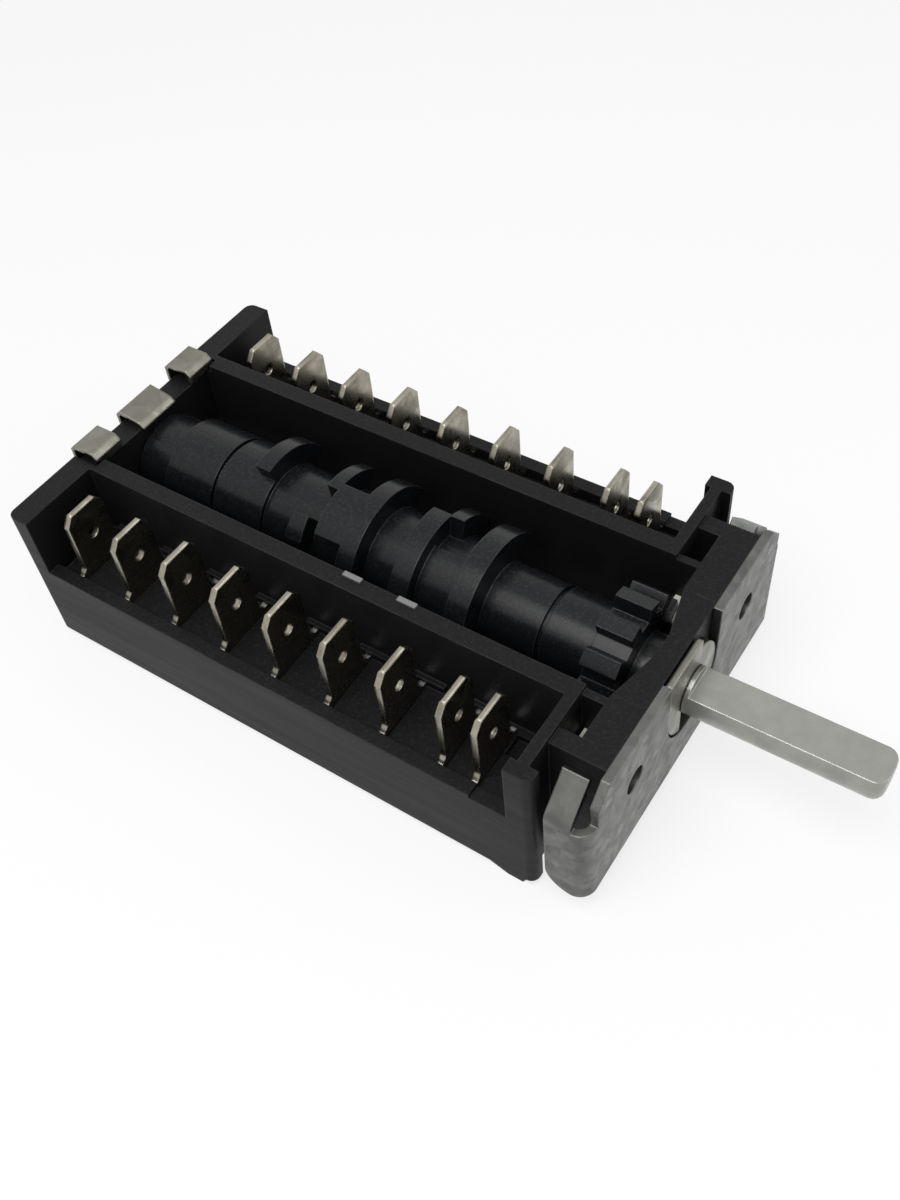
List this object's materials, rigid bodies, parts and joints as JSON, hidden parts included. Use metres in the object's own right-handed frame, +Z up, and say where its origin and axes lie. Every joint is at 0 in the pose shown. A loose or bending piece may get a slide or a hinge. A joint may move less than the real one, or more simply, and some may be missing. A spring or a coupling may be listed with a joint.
{
  "type": "oven switch",
  "caption": "Rotary oven function switch: moulded housing with an open trough for a cam drum, rows of blade terminals, folded mounting bracket and flatted shaft.",
  "frame": {"origin": "on the shaft's axis, in the front face of the mounting bracket, midway between its two screw holes", "axes": "+Y back along the drum, the shaft pointing to -Y; +X to the right seen from the front; +Z up, the side that the drum and blades are seen from"},
  "size_m": [0.0488, 0.1081, 0.0243],
  "materials": {
    "housing_moulding": "satin black moulding",
    "cover_moulding": "satin black moulding",
    "drum_moulding": "smooth blue-black moulding",
    "plunger_moulding": "natural slippery moulding",
    "zinc_plated_steel": "zinc plated sheet",
    "shaft_steel": "plated bar",
    "clip_steel": "stamped spring steel",
    "spring_strip": "bright spring strip",
    "tinned_brass": "tin plated",
    "spring_bronze": "bare spring bronze",
    "contact_silver": "silver contact alloy"
  },
  "bodies": {
    "base": {"housing": "housing_moulding", "front_bearing_cap": "housing_moulding", "bottom_cover": "cover_moulding", "shaft_clip": "clip_steel", "mounting_bracket": "zinc_plated_steel", "rear_spring_clip": "clip_steel", "detent_spring_left": "spring_strip", "detent_spring_right": "spring_strip", "terminal_left_1": "tinned_brass", "contact_leaf_left_1": "spring_bronze", "terminal_left_2": "tinned_brass", "contact_leaf_left_2": "spring_bronze", "terminal_left_3": "tinned_brass", "contact_leaf_left_3": "spring_bronze", "terminal_left_4": "tinned_brass", "contact_leaf_left_4": "spring_bronze", "terminal_left_5": "tinned_brass", "contact_leaf_left_5": "spring_bronze", "terminal_left_6": "tinned_brass", "contact_leaf_left_6": "spring_bronze", "terminal_left_7": "tinned_brass", "contact_leaf_left_7": "spring_bronze", "terminal_left_8": "tinned_brass", "contact_leaf_left_8": "spring_bronze", "bus_bar_left": "tinned_brass", "leaf_contacts_left": "contact_silver", "bus_contacts_left": "contact_silver", "terminal_right_1": "tinned_brass", "contact_leaf_right_1": "spring_bronze", "terminal_right_2": "tinned_brass", "contact_leaf_right_2": "spring_bronze", "terminal_right_3": "tinned_brass", "contact_leaf_right_3": "spring_bronze", "terminal_right_4": "tinned_brass", "contact_leaf_right_4": "spring_bronze", "terminal_right_5": "tinned_brass", "contact_leaf_right_5": "spring_bronze", "terminal_right_6": "tinned_brass", "contact_leaf_right_6": "spring_bronze", "terminal_right_7": "tinned_brass", "contact_leaf_right_7": "spring_bronze", "terminal_right_8": "tinned_brass", "contact_leaf_right_8": "spring_bronze", "bus_bar_right": "tinned_brass", "leaf_contacts_right": "contact_silver", "bus_contacts_right": "contact_silver"},
    "drum": {"cam_drum": "drum_moulding", "shaft": "shaft_steel"},
    "plunger_left": {"detent_plunger_left": "plunger_moulding"},
    "plunger_right": {"detent_plunger_right": "plunger_moulding"}
  },
  "joints": [
    {"name": "shaft_turn", "type": "hinge", "parent": "base", "child": "drum", "pos_m": [0, 0, 0], "axis": [0, -1, 0], "continuous": true},
    {"name": "detent_left_slide", "type": "slide", "parent": "base", "child": "plunger_left", "axis": [-1, 0, 0], "range_m": [0, 0.0016], "stiffness_N_per_m": 800, "springref_m": -0.0015, "deforming": ["detent_spring_left"]},
    {"name": "detent_right_slide", "type": "slide", "parent": "base", "child": "plunger_right", "axis": [1, 0, 0], "range_m": [0, 0.0016], "stiffness_N_per_m": 800, "springref_m": -0.0015, "deforming": ["detent_spring_right"]}
  ]
}
